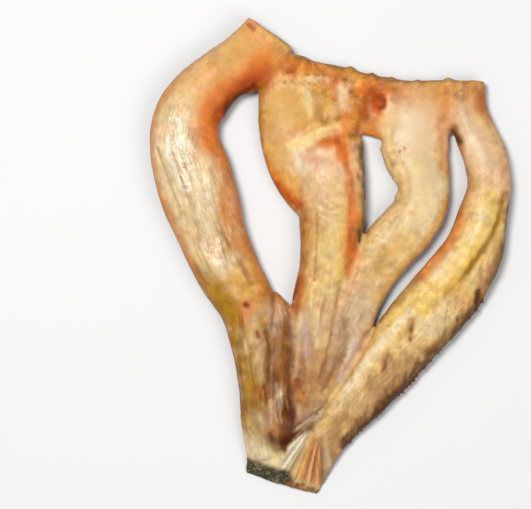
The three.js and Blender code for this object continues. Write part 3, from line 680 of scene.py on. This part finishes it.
def spline(knots, step):
    """Points at even steps along a smooth curve through the knots; extra columns are carried along."""
    knots = np.atleast_2d(np.array(knots, float))
    if len(knots) == 1:
        return knots
    gaps = np.linalg.norm(np.diff(knots[:, :2], axis=0), axis=1)
    at = np.concatenate([[0], np.cumsum(gaps)])
    if len(knots) > 2:
        slopes = np.gradient(knots, at, axis=0)
    else:
        slopes = np.repeat(np.diff(knots, axis=0) / gaps, 2, axis=0)
    fine = np.linspace(0, at[-1], max(2, int(round(at[-1] / step)) + 1))
    k = np.clip(np.searchsorted(at, fine, "right") - 1, 0, len(gaps) - 1)
    h = gaps[k][:, None]
    t = ((fine - at[k]) / gaps[k])[:, None]
    return (
        (1 + 2 * t) * (1 - t) ** 2 * knots[k]
        + t * (1 - t) ** 2 * h * slopes[k]
        + t * t * (3 - 2 * t) * knots[k + 1]
        + t * t * (t - 1) * h * slopes[k + 1]
    )


def across_of(line):
    """The sideways direction at each point of a line, to its right in plan."""
    tangent = np.gradient(line[:, :2], axis=0)
    tangent /= np.linalg.norm(tangent, axis=1)[:, None]
    return np.stack([tangent[:, 1], -tangent[:, 0]], axis=1)


def signed_power(value, exponent):
    return np.sign(value) * np.abs(value) ** exponent


def ring_faces(first, rings, points):
    """Four-sided faces from each ring of vertices to the next, from the first vertex on."""
    ring = np.arange(points)
    after = np.roll(ring, -1)
    faces = []
    for a in first + points * np.arange(rings - 1):
        b = a + points
        faces += np.stack([a + ring, b + ring, b + after, a + after], axis=1).tolist()
    return faces


def band_mesh(stations):
    """Vertices and faces of a band swept along its stations."""
    line = spline(stations, SECTION_STEP)
    across = across_of(line)
    angle = np.arange(SECTION_POINTS) * 2 * math.pi / SECTION_POINTS
    side = 0.5 * signed_power(np.cos(angle), SIDE_POWER)
    rise = np.where(
        np.sin(angle) > 0,
        (1 - EDGE_SHARE) * signed_power(np.sin(angle), TOP_POWER),
        EDGE_SHARE * signed_power(np.sin(angle), BASE_POWER),
    )
    offset = line[:, 2, None] * side
    verts = np.stack([
        line[:, 0, None] + offset * across[:, 0, None],
        line[:, 1, None] + offset * across[:, 1, None],
        line[:, 4, None] + line[:, 3, None] * (EDGE_SHARE + rise),
    ], axis=2).reshape(-1, 3)
    first_end = list(range(SECTION_POINTS))
    last_end = list(range(len(verts) - 1, len(verts) - SECTION_POINTS - 1, -1))
    return verts, ring_faces(0, len(line), SECTION_POINTS) + [first_end, last_end]


def lump_mesh(centre, radius):
    """Vertices and faces of a small ball."""
    polar = np.linspace(0, math.pi, LUMP_RINGS + 1)[1:-1]
    turn = np.arange(LUMP_POINTS) * 2 * math.pi / LUMP_POINTS
    body = np.stack([
        np.outer(np.sin(polar), np.cos(turn)),
        np.outer(np.sin(polar), np.sin(turn)),
        np.outer(np.cos(polar), np.ones(LUMP_POINTS)),
    ], axis=2).reshape(-1, 3)
    verts = np.concatenate([[(0, 0, 1)], body, [(0, 0, -1)]]) * radius + np.array(centre)
    faces = ring_faces(1, LUMP_RINGS - 1, LUMP_POINTS)
    last = len(verts) - 1
    for j in range(LUMP_POINTS):
        n = (j + 1) % LUMP_POINTS
        faces.append([0, 1 + j, 1 + n])
        faces.append([last, last - LUMP_POINTS + n, last - LUMP_POINTS + j])
    return verts, faces


def stub_mesh(base, direction, length, radius):
    """Vertices and faces of a short four-sided spine."""
    base = np.array(base)
    out = np.array([direction[0], direction[1], 0])
    side = np.array([-direction[1], direction[0], 0])
    up = np.array([0, 0, 1])
    corners = [base + radius * d for d in (side, up, -side, -up)]
    verts = np.array(corners + [base + length * out])
    return verts, [[3, 2, 1, 0], [0, 1, 4], [1, 2, 4], [2, 3, 4], [3, 0, 4]]


def lattice_noise(points, seed):
    """Smooth noise from -1 to 1 at each point, one unit from crest to crest."""
    cell = np.floor(points).astype(np.int64)
    frac = points - cell
    blend = frac * frac * (3 - 2 * frac)
    total = np.zeros(len(points))
    for corner in np.ndindex(2, 2, 2):
        code = np.bitwise_xor.reduce((cell + np.array(corner)) * np.array(CELL_PRIMES), axis=1)
        code = code ^ (seed * SEED_PRIME)
        code = (code ^ (code >> 13)) * SCATTER_PRIME & SCATTER_MASK
        level = (code ^ (code >> 16)) % NOISE_LEVELS
        weight = np.prod(np.where(corner, blend, 1 - blend), axis=1)
        total += weight * (2 * level / (NOISE_LEVELS - 1) - 1)
    return total


def fractal_noise(points, seed, octaves):
    total = np.zeros(len(points))
    for k in range(octaves):
        total += lattice_noise(points * 2 ** k, seed + k) / 2 ** k
    return total


def plan_distance(verts, line):
    """Distance in plan from each vertex to the nearest point of a line, and that point's index."""
    best = np.full(len(verts), np.inf)
    index = np.zeros(len(verts), int)
    for k, point in enumerate(line):
        d = (verts[:, 0] - point[0]) ** 2 + (verts[:, 1] - point[1]) ** 2
        closer = d < best
        best[closer] = d[closer]
        index[closer] = k
    return np.sqrt(best), index


def mesh_arrays(mesh):
    """Vertex places and normals and edge ends of a mesh."""
    verts, normals = np.empty((2, len(mesh.vertices), 3))
    edges = np.empty((len(mesh.edges), 2), int)
    mesh.vertices.foreach_get("co", verts.ravel())
    mesh.vertices.foreach_get("normal", normals.ravel())
    mesh.edges.foreach_get("vertices", edges.ravel())
    return verts, normals, edges


def relax(values, edges, rounds):
    """Ease each vertex's values towards the mean of its neighbours'."""
    count = np.bincount(edges.ravel(), minlength=len(values))[:, None]
    for _ in range(rounds):
        total = np.zeros_like(values)
        for axis in range(values.shape[1]):
            total[:, axis] = (
                np.bincount(edges[:, 0], values[edges[:, 1], axis], len(values))
                + np.bincount(edges[:, 1], values[edges[:, 0], axis], len(values))
            )
        values = values + EASE * (total / count - values)
    return values


def move_vertices(mesh, places):
    mesh.vertices.foreach_set("co", places.ravel())
    mesh.update()


def placed(name, data):
    """A new object in the scene."""
    thing = bpy.data.objects.new(name, data)
    bpy.context.collection.objects.link(thing)
    return thing


def new_material(name):
    """A material and its shader."""
    fresh = bpy.data.materials.new(name)
    fresh.use_nodes = True
    return fresh, fresh.node_tree.nodes["Principled BSDF"]


def modified(mesh, kind, group=(), **settings):
    """The mesh with one modifier applied; the group lists the vertices that it may change."""
    holder = placed("holder", mesh)
    if group:
        holder.vertex_groups.new(name="group").add(group, 1.0, "REPLACE")
    modifier = holder.modifiers.new(kind, kind)
    for name, value in settings.items():
        setattr(modifier, name, value)
    graph = bpy.context.evaluated_depsgraph_get()
    result = bpy.data.meshes.new_from_object(holder.evaluated_get(graph))
    bpy.data.objects.remove(holder)
    return result


# Rough body: every band, lump and stub as one shell
parts = [band_mesh(stations) for stations in [*BANDS.values(), BRIDGE, LIP]]
random = np.random.default_rng(RANDOM_SEED)
for rim_line in (COLLAR_RIM, SLIT_RIM):
    for point in spline(rim_line, RIM_STEP):
        jitter = random.normal(0, RIM_JITTER, 3)
        parts.append(lump_mesh(point + jitter, random.uniform(*LUMP_RADIUS)))
parts += [lump_mesh(point, KNOB_RADIUS) for point in RIM_KNOBS]
dorsal = spline(DORSAL_EDGE, STUB_STEP)
dorsal_out = -across_of(dorsal)
for point, out in zip(dorsal, dorsal_out):
    parts.append(stub_mesh(point, out, random.uniform(*STUB_LENGTH), STUB_RADIUS))

verts, faces = [], []
for part_verts, part_faces in parts:
    start = len(verts)
    verts += part_verts.tolist()
    faces += [[i + start for i in face] for face in part_faces]
joined = bpy.data.meshes.new("joined")
joined.from_pydata(verts, [], faces)
shell = modified(joined, "REMESH", mode="VOXEL", voxel_size=VOXEL)
plan, _, edges = mesh_arrays(shell)
move_vertices(shell, relax(plan, edges, SHELL_ROUNDS))

# The flat underside needs fewer triangles than the flesh
_, normals, _ = mesh_arrays(shell)
base = np.nonzero(normals[:, 2] < BASE_SLOPE)[0].tolist()
ratio = TRIANGLES / sum(len(p.vertices) - 2 for p in shell.polygons)
shell = modified(shell, "DECIMATE", base, ratio=ratio, vertex_group="group")
plan, normals, edges = mesh_arrays(shell)
upward = smoothstep(*UPWARD, normals[:, 2])

# Where each vertex lies on each band, and how well that band fits it
misfit, along, across, part_way = [], [], [], []
for stations in BANDS.values():
    line = spline(stations, LINE_STEP)
    distance, index = plan_distance(plan, line)
    at = line[index]
    offset = ((plan[:, :2] - at[:, :2]) * across_of(line)[index]).sum(axis=1)
    v = np.clip(np.abs(offset) / (0.5 * at[:, 2]), 0, 1)
    crown = (1 - v ** (2 / SIDE_POWER)) ** (0.5 * TOP_POWER)
    top = at[:, 4] + at[:, 3] * (EDGE_SHARE + (1 - EDGE_SHARE) * crown)
    beyond = np.maximum(0, distance - 0.5 * at[:, 2])
    misfit.append(np.abs(plan[:, 2] - top) + BEYOND_WEIGHT * beyond)
    along.append(index)
    across.append(offset)
    part_way.append(index / (len(line) - 1))
share = np.exp((np.min(misfit, axis=0) - np.array(misfit)) / BAND_BLEND)
share /= share.sum(axis=0)
sway = SWAY * lattice_noise(plan / SWAY_LENGTH, SEEDS["sway"])


def fibres(length, width, seed, slant=0):
    """Noise drawn out along the strips, or at a slant to them."""
    total = np.zeros(len(plan))
    for k, weight in enumerate(share):
        on = np.nonzero(weight > LEAST_SHARE)[0]
        x = along[k][on]
        y = across[k][on] + sway[on] + slant * x
        points = np.stack([x / length, y / width, np.full(len(on), BAND_GAP * k)], axis=1)
        total[on] += weight[on] * fractal_noise(points, seed, 2)
    return total


def speckle(size, seed, octaves=2):
    """Noise of one grain size in every direction."""
    return fractal_noise(plan / size, seed, octaves)


breaks = fibres(*BREAKS)


def stroke(points, radius, seed, kind="soft"):
    """How strongly a ragged stroke along the points, broken by streaks, covers each vertex."""
    ragged, broken = STROKE_EDGES[kind]
    line = spline(points, LINE_STEP)[:, :2]
    reach = 2 * radius
    inside = (plan[:, :2] > line.min(axis=0) - reach) & (plan[:, :2] < line.max(axis=0) + reach)
    near = np.nonzero(inside.all(axis=1))[0]
    distance, _ = plan_distance(plan[near], line)
    wobble = ragged * fractal_noise(plan[near] / (RAGGED_SHARE * radius + RAGGED_MORE), seed, 2)
    reached = 1 + wobble - (distance - broken * breaks[near]) / radius
    cover = np.zeros(len(plan))
    cover[near] = smoothstep(*STROKE_FADE, reached) * upward[near]
    return cover


def covered(strokes, seed):
    """The strongest of several strokes at each vertex."""
    return np.max([s * stroke(points, r, seed + k) for k, (s, r, points) in enumerate(strokes)], axis=0)


zone = {name: covered(strokes, SEEDS[name]) for name, strokes in ZONES.items()}
zone["all"] = np.ones(len(plan))
zone["rough"] = 1 - SMOOTH_LOSS * zone["smooth"]
zone["inner_folds"] = zone["folded"] * (1 - LEFT_LOSS * share[list(BANDS).index("left")])
zone["lip"] = stroke([station[:2] for station in LIP], LIP_RADIUS, SEEDS["lip"])
tail_cover = stroke(TAIL_BAND, TAIL_BAND_RADIUS, SEEDS["tail_band"], "band")
zone["tail_band"] = smoothstep(*TAIL_BAND_EDGE, tail_cover)

from_fan = plan[:, :2] - np.array(FAN_POINT)
fan_turn = np.degrees(np.arctan2(from_fan[:, 0], -from_fan[:, 1]))
fan_out = np.linalg.norm(from_fan, axis=1)
fan = smoothstep(*FAN_START, fan_out) * upward
for side, inside in zip(FAN_SIDES, (FAN_FADE, -FAN_FADE)):
    fan *= smoothstep(side, side + inside, fan_turn)
fan *= smoothstep(*FAN_END, fan_out / np.interp(fan_turn, *zip(*FAN_REACH)))


def fan_noise(degrees, seed):
    """Noise drawn out along the rays of the tail fin."""
    return fractal_noise(np.c_[fan_turn / degrees, plan[:, 1] / RAY_LENGTH, np.zeros(len(plan))], seed, 2)


rays = fan_noise(RAY_DEGREES, SEEDS["rays"]) * np.interp(fan_turn, *zip(*RAY_CONTRAST))
broad_rays = fan_noise(BROAD_RAY_DEGREES, SEEDS["broad_rays"])

# Relief: rays, lumps and fibres by zone, and strokes
height = RAY_HEIGHT * fan * rays
for rows, pattern in ((LUMPS, speckle), (FIBRES, fibres)):
    for where, rise, grain in rows:
        height += rise * zone[where] * pattern(*grain)
for k, (rise, radius, points) in enumerate(RELIEF):
    height += rise * stroke(points, radius, SEEDS["relief"] + k, "relief")
height *= upward
place = plan + height[:, None] * normals
place[:, 2] = np.maximum(place[:, 2], 0.0)
move_vertices(shell, place)
_, normals, _ = mesh_arrays(shell)


def ramp(stops, value):
    """The colour at each value between the named stops."""
    at = [s for s, _ in stops]
    colours = np.array([linear(name) for _, name in stops])
    return np.stack([np.interp(value, at, channel) for channel in colours.T], axis=1)


def laid(ground, colour, cover):
    """The ground with a colour painted over it, as strongly as it covers each vertex."""
    return ground + cover[:, None] * (colour - ground)


def stroked(ground, strokes, seed, kind="soft"):
    """The ground with strokes painted over it, one after the other."""
    for k, (name, strength, radius, points) in enumerate(strokes):
        ground = laid(ground, linear(name), strength * stroke(points, radius, seed + k, kind))
    return ground


def patterned(ground, rows, pattern):
    """The ground with streaks or specks painted over it, zone by zone."""
    for name, strength, where, limits, grain in rows:
        cover = smoothstep(*limits, pattern(*grain))
        ground = laid(ground, linear(name), strength * zone[where] * cover)
    return ground


# Paint: flesh along the bands, blotches, and strokes over them
paint = np.zeros((len(plan), 3))
for name, weight, fraction in zip(BANDS, share, part_way):
    paint += weight[:, None] * ramp(FLESH[name], fraction)
mottled = MOTTLE_LEAST + (1 - MOTTLE_LEAST) * zone["rough"]
for k, (name, strength, size) in enumerate(MOTTLE):
    cover = smoothstep(*MOTTLE_EDGE, speckle(size, SEEDS["mottle"] + k))
    paint = laid(paint, linear(name), strength * mottled * cover)
paint = stroked(paint, PAINT, SEEDS["paint"])

# The tail's rays and dark edge, and the dark marks beside the dorsal fin
paint = laid(paint, ramp(FAN_COLOURS, fan_turn), FAN_STRENGTH * fan * (1 - zone["tail_band"]))
for name, strength, limits in RAY_LINES:
    paint = laid(paint, linear(name), strength * fan * smoothstep(*limits, rays))
paint = laid(paint, linear("charcoal"), zone["tail_band"])
for k, (point, out) in enumerate(zip(dorsal[:, :2], dorsal_out)):
    start = point - random.uniform(*FEATHER_INSET) * out
    end = start + np.array([random.uniform(*FEATHER_LEAN), random.uniform(*FEATHER_LENGTH)])
    cover = stroke([start, end], FEATHER_RADIUS, SEEDS["feathers"] + k)
    paint = laid(paint, linear("umber"), random.uniform(*FEATHER_STRENGTH) * cover)

# Streaks and specks by zone
paint = patterned(paint, STREAKS, fibres)
paint = patterned(paint, SPECKS, speckle)

# Hue passes softly from patch to patch, and light and dark more sharply
light = paint @ LUMINANCE
paint = light[:, None] * relax(paint / light[:, None], edges, HUE_ROUNDS)
for where, grains in SHADES.items():
    shade = sum(strength * speckle(size, seed) for strength, size, seed in grains)
    paint *= 1 + (zone[where] * shade)[:, None]
paint *= 1 + (RAY_SHADE * fan * (rays + broad_rays))[:, None]

# Freckles, small marks and the dots of the fin stay sharp
paint = patterned(paint, FRECKLES, speckle)
paint = stroked(paint, MARKS, SEEDS["marks"], "mark")
for k, point in enumerate(spline(FIN_EDGE, 2 * FIN_DOT)):
    dot = point + random.normal(0, FIN_DOT_JITTER, 2)
    cover = stroke([dot], FIN_DOT, SEEDS["dots"] + k, "dot")
    paint = laid(paint, linear("umber"), FIN_DOT_STRENGTH * cover)

# Painted shade: hollows and steep rims are darker and redder, the brink darker still; rims and brink are
# also the strips' drier, darker edges. The underside is bare skin
depth = relax(height[:, None], edges, HOLLOW_ROUNDS)[:, 0] - height
hollow_shade = smoothstep(*HOLLOW_DEPTH, depth)
patches = RIM_STRENGTH + RIM_CHANGE * speckle(RIM_PATCH, SEEDS["rim"])
rim = smoothstep(*RIM_SLOPE, normals[:, 2]) * patches
brink_edge_and_shade = smoothstep(*BRINK_SLOPE, normals[:, 2])
for cover, loss in ((hollow_shade, HOLLOW_SHADE_LOSS), (rim, RIM_DRY_AND_SHADE_LOSS), (brink_edge_and_shade, BRINK_EDGE_AND_SHADE_LOSS)):
    paint *= 1 - cover[:, None] * np.array(loss)
paint = laid(paint, linear("skin"), 1 - upward)
paint = np.clip(paint, *PAINT_LIMITS)

# The finished mesh, centred on the table as the solid is
shift = 0.5 * (np.min(verts, axis=0) + np.max(verts, axis=0))
shift[2] = 0
move_vertices(shell, (place - shift) * MM)
shell.shade_smooth()


def keep(name, values, kind="FLOAT", field="value"):
    """Store one value for each vertex under a name that the material reads."""
    layer = shell.attributes.new(name, kind, "POINT")
    layer.data.foreach_set(field, np.asarray(values, float).ravel())


best = share.argmax(axis=0)
each = np.arange(len(plan))
grain_along = np.array(along)[best, each]
grain_across = np.array(across)[best, each] + sway
clear = smoothstep(*CLEAR_SHARE, share.max(axis=0))
fibrous = sum(amount * zone[where] for where, amount in FIBROUS.items()) - fan
bright = smoothstep(*BRIGHT, paint @ LUMINANCE)
dull_gloss = GLOSS + BRIGHT_GLOSS * bright * zone["rough"] * (1 - zone["freckled"])
keep("paint", np.c_[paint, np.ones(len(paint))], "FLOAT_COLOR", "color")
keep("grain", np.c_[grain_along, grain_across, BAND_GAP * best], "FLOAT_VECTOR", "vector")
keep("fibrous", clear * np.clip(fibrous, 0, 1))
keep("speckled", zone["tail_band"])
keep("wet", clear * zone["wet"])
keep("hide", 1 - upward)
keep("rough", zone["rough"])
keep("gloss", dull_gloss + WET_GLOSS * clear * zone["wet"])

fish = placed("dried_fish", shell)
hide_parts("fish")
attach(fish, "root")

# Flesh: painted colour with fine fibres, a moist sheen and a little light passing through
material, shader = new_material("dried_flesh")
nodes = material.node_tree.nodes
links = material.node_tree.links
shader.inputs["Subsurface Weight"].default_value = 0.12
shader.inputs["Subsurface Radius"].default_value = (0.004, 0.0018, 0.0008)
shader.inputs["Subsurface Scale"].default_value = 1.0
shader.inputs["Coat Roughness"].default_value = 0.14
shader.inputs["Specular IOR Level"].default_value = 0.18


def attribute(name, output="Fac"):
    node = nodes.new("ShaderNodeAttribute")
    node.attribute_name = name
    return node.outputs[output]


vectors = {
    "place": nodes.new("ShaderNodeTexCoord").outputs["Object"],
    "grain": attribute("grain", "Vector"),
}


def noise(name, output="Fac"):
    """One of the named noises."""
    follows, scales, detail = NOISES[name]
    stretch = nodes.new("ShaderNodeMapping")
    stretch.inputs["Scale"].default_value = scales
    links.new(vectors[follows], stretch.inputs["Vector"])
    texture = nodes.new("ShaderNodeTexNoise")
    texture.inputs["Scale"].default_value = 1.0
    texture.inputs["Detail"].default_value = detail
    links.new(stretch.outputs["Vector"], texture.inputs["Vector"])
    return texture.outputs[output]


def ranged(name, value):
    """A value brought into one of the named ranges."""
    node = nodes.new("ShaderNodeMapRange")
    for socket, setting in zip(("From Min", "From Max", "To Min", "To Max"), RANGES[name]):
        node.inputs[socket].default_value = setting
    links.new(value, node.inputs["Value"])
    return node.outputs["Result"]


def combine(operation, a, b):
    node = nodes.new("ShaderNodeMath")
    node.operation = operation
    links.new(a, node.inputs[0])
    links.new(b, node.inputs[1])
    return node.outputs["Value"]


def vector_math(operation, vector):
    node = nodes.new("ShaderNodeVectorMath")
    node.operation = operation
    links.new(vector, node.inputs[0])
    return node


def mixed(factor, under, name):
    """One palette colour mixed over another colour."""
    node = nodes.new("ShaderNodeMix")
    node.data_type = "RGBA"
    links.new(factor, node.inputs[0])
    links.new(under, node.inputs[MIX_UNDER])
    node.inputs[MIX_OVER].default_value = (*linear(name), 1)
    return node.outputs[MIX_RESULT]


def bumped(height, distance, normal):
    """Fine relief on one of the shader's normals."""
    node = nodes.new("ShaderNodeBump")
    node.inputs["Strength"].default_value = BUMP_STRENGTH
    node.inputs["Distance"].default_value = distance
    links.new(height, node.inputs["Height"])
    links.new(node.outputs["Normal"], shader.inputs[normal])


def masked(name, mask):
    """One of the named noises, in its range, where the mask lets it show."""
    return combine("MULTIPLY", ranged(name, noise(name)), mask)


moist = attribute("wet")
rough = attribute("rough")
fine = noise("fine")
weave = noise("weave")
fibre = masked("fibre", attribute("fibrous"))
painted_glint = masked("painted_glint", moist)
crack = masked("crack", moist)
speck = masked("speck", attribute("speckled"))
grit = combine("MULTIPLY", ranged("grit", weave), rough)

# The skin below has scales and broad dark blotches
scales = nodes.new("ShaderNodeTexVoronoi")
scales.inputs["Scale"].default_value = SCALES
links.new(vectors["place"], scales.inputs["Vector"])
dark = combine("ADD", ranged("scales", scales.outputs["Distance"]), ranged("blotch", noise("blotch")))
skin_dark = combine("MULTIPLY", dark, attribute("hide"))

# Fine grains of the flesh differ a little in hue
hue = vector_math("MULTIPLY_ADD", noise("hue", "Color"))
hue.inputs[1].default_value = HUE_CHANGE
hue.inputs[2].default_value = HUE_LEAST
grained = vector_math("MULTIPLY", attribute("paint", "Color"))
links.new(hue.outputs["Vector"], grained.inputs[1])
toned = vector_math("SCALE", grained.outputs["Vector"])
tone = combine("ADD", ranged("tone", fibre), grit)
links.new(combine("SUBTRACT", tone, skin_dark), toned.inputs["Scale"])
# Painted highlight: white glints on the moist flesh; then brown cracks and ash specks
tint = mixed(painted_glint, toned.outputs["Vector"], "white")
tint = mixed(crack, tint, "brown")
links.new(mixed(speck, tint, "ash"), shader.inputs["Base Color"])

dry = combine("SUBTRACT", ranged("dry", fine), ranged("moist", moist))
links.new(dry, shader.inputs["Roughness"])
links.new(attribute("gloss"), shader.inputs["Coat Weight"])
bumped(combine("SUBTRACT", combine("ADD", fibre, fine), skin_dark), FLESH_BUMP, "Normal")
bumped(combine("ADD", fibre, combine("MULTIPLY", weave, rough)), FILM_BUMP, "Coat Normal")
shell.materials.clear()
shell.materials.append(material)

# Plain pale floor
floor_mesh = bpy.data.meshes.new("floor")
corners = [(x * FLOOR_HALF, y * FLOOR_HALF, 0) for x, y in ((-1, -1), (1, -1), (1, 1), (-1, 1))]
floor_mesh.from_pydata(corners, [], [(0, 1, 2, 3)])
floor = placed("floor", floor_mesh)
floor.location.z = -FLOOR_DROP
floor_material, floor_shader = new_material("floor")
floor_shader.inputs["Base Color"].default_value = (0.95, 0.95, 0.95, 1)
floor_shader.inputs["Roughness"].default_value = 0.9
floor_mesh.materials.append(floor_material)

# Soft studio light
world = bpy.data.worlds.new("studio")
bpy.context.scene.world = world
world.use_nodes = True
background = world.node_tree.nodes["Background"]
background.inputs["Color"].default_value = (1, 1, 1, 1)
background.inputs["Strength"].default_value = 0.2


def area_light(name, location, size, power):
    """A round lamp that looks at the fish."""
    data = bpy.data.lights.new(name, "AREA")
    data.shape = "DISK"
    data.size = size
    data.energy = power
    lamp = placed(name, data)
    lamp.location = location
    aim = -lamp.location.normalized()
    lamp.rotation_mode = "QUATERNION"
    lamp.rotation_quaternion = aim.to_track_quat("-Z", "Y")


area_light("key", (-0.35, 0.3, 1.25), size=0.5, power=12)
area_light("fill", (0.6, -0.4, 1.0), size=0.9, power=3.5)

# The camera looks straight down, with the fish where the picture has it
centre_x = (0.5 * IMAGE_WIDTH - ZERO_PIXEL[0]) * PIXEL - shift[0]
centre_y = (ZERO_PIXEL[1] - 0.5 * IMAGE_HEIGHT) * PIXEL - shift[1]
camera_data = bpy.data.cameras.new("camera")
camera_data.sensor_width = SENSOR
camera_data.lens = SENSOR * CAMERA_HEIGHT / (IMAGE_WIDTH * PIXEL * MM)
camera = placed("camera", camera_data)
camera.location = (centre_x * MM, centre_y * MM, CAMERA_HEIGHT)
bpy.context.scene.camera = camera
bpy.context.scene.view_settings.view_transform = "Standard"
